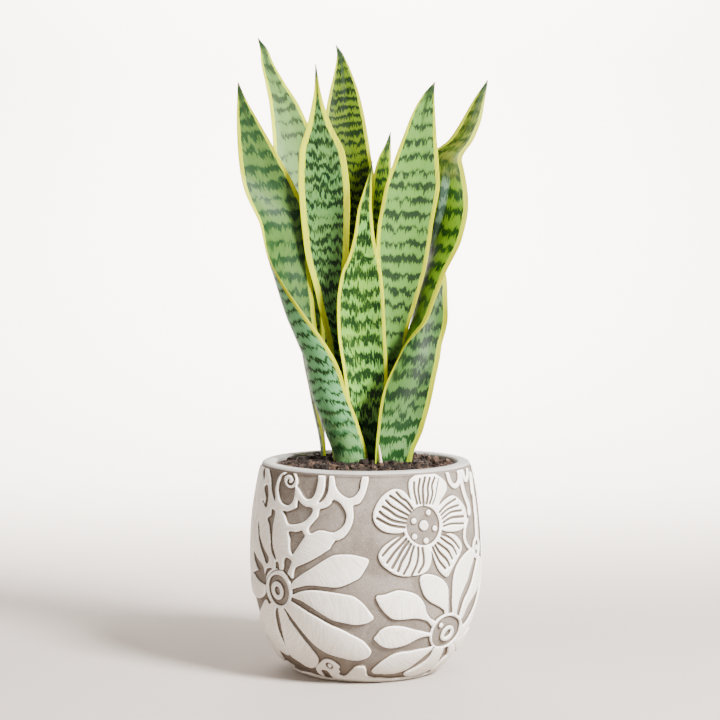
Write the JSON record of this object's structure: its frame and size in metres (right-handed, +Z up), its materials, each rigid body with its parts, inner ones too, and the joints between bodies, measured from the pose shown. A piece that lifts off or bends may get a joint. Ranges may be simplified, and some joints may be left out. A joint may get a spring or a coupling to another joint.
{
  "type": "potted snake plant",
  "caption": "Upright sword-leaved foliage plant growing in bark potting mix in a round-bellied relief-cast pot with a flat base.",
  "frame": {"origin": "centre of the pot's flat resting face, on the pot's axis", "axes": "+Z up along the pot's axis; the plant's broad view is from -Y, with +X to the viewer's right"},
  "size_m": [0.1859, 0.169, 0.47],
  "materials": {
    "pot": "matt cast body with brighter raised relief",
    "soil": "loose dark bark and coir mix",
    "rootstock": "fleshy matt",
    "leaf_front_left": "waxy satin leaf",
    "leaf_tall_back_left": "waxy satin leaf",
    "leaf_centre_left": "waxy satin leaf",
    "leaf_short_front": "waxy satin leaf",
    "leaf_right": "waxy satin leaf",
    "leaf_centre_right": "waxy satin leaf",
    "leaf_tall_back": "waxy satin leaf",
    "leaf_small_back": "waxy satin leaf",
    "young_shoot": "satin",
    "bark": "rough"
  },
  "bodies": {
    "root": {"pot": "pot", "soil": "soil", "rootstock": "rootstock", "leaf_front_left": "leaf_front_left", "leaf_tall_back_left": "leaf_tall_back_left", "leaf_centre_left": "leaf_centre_left", "leaf_short_front": "leaf_short_front", "leaf_right": "leaf_right", "leaf_centre_right": "leaf_centre_right", "leaf_tall_back": "leaf_tall_back", "leaf_small_back": "leaf_small_back", "young_shoot": "young_shoot", "bark_chip_01": "bark", "bark_chip_02": "bark", "bark_chip_03": "bark", "bark_chip_04": "bark", "bark_chip_05": "bark", "bark_chip_06": "bark", "bark_chip_07": "bark", "bark_chip_08": "bark", "bark_chip_09": "bark", "bark_chip_10": "bark", "bark_chip_11": "bark"}
  },
  "joints": []
}
